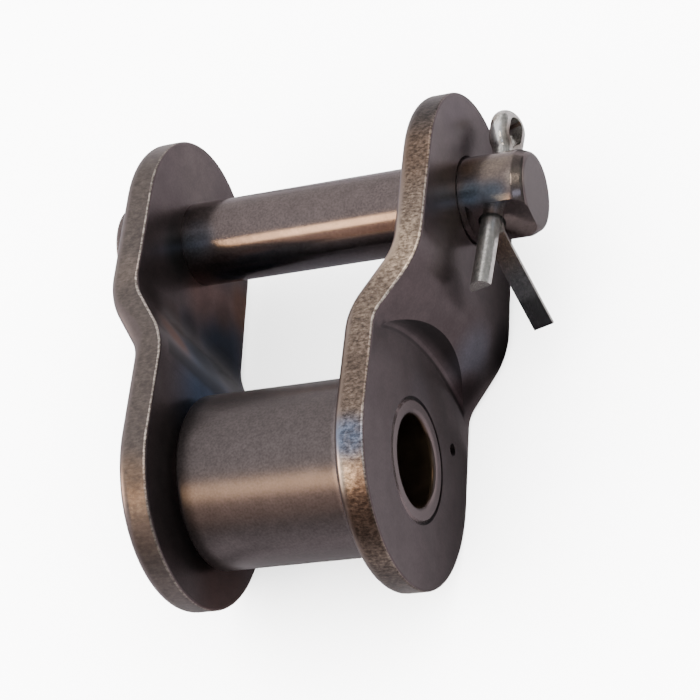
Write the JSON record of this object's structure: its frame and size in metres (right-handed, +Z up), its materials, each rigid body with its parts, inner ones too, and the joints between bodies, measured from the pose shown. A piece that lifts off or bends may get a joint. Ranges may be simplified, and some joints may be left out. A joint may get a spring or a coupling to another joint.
{
  "type": "offset chain link",
  "caption": "Cranked roller chain link with bushing and roller at the narrow end and a connecting pin with split cotter at the wide end.",
  "frame": {"origin": "centre of the bushing's bore, midway between the plates", "axes": "+X along the bushing and the pin towards the cotter, +Y from the bushing to the connecting pin, +Z up from the long edges that the link lies on"},
  "size_m": [0.041, 0.0469, 0.0228],
  "materials": {
    "plate_steel": "heat-treated dark brown-grey, tumbled",
    "bushing_steel": "hardened, satin",
    "roller_steel": "hardened, satin, brownish",
    "pin_steel": "hardened and ground, satin, brownish",
    "cotter_steel": "drawn wire, bright"
  },
  "bodies": {
    "link": {"plate_cotter_side": "plate_steel", "plate_head_side": "plate_steel", "bushing": "bushing_steel", "connecting_pin": "pin_steel", "cotter_pin": "cotter_steel"},
    "roller": {"roller": "roller_steel"}
  },
  "joints": [
    {"name": "roller_spin", "type": "hinge", "parent": "link", "child": "roller", "pos_m": [0, 0, 0], "axis": [1, 0, 0], "continuous": true}
  ]
}
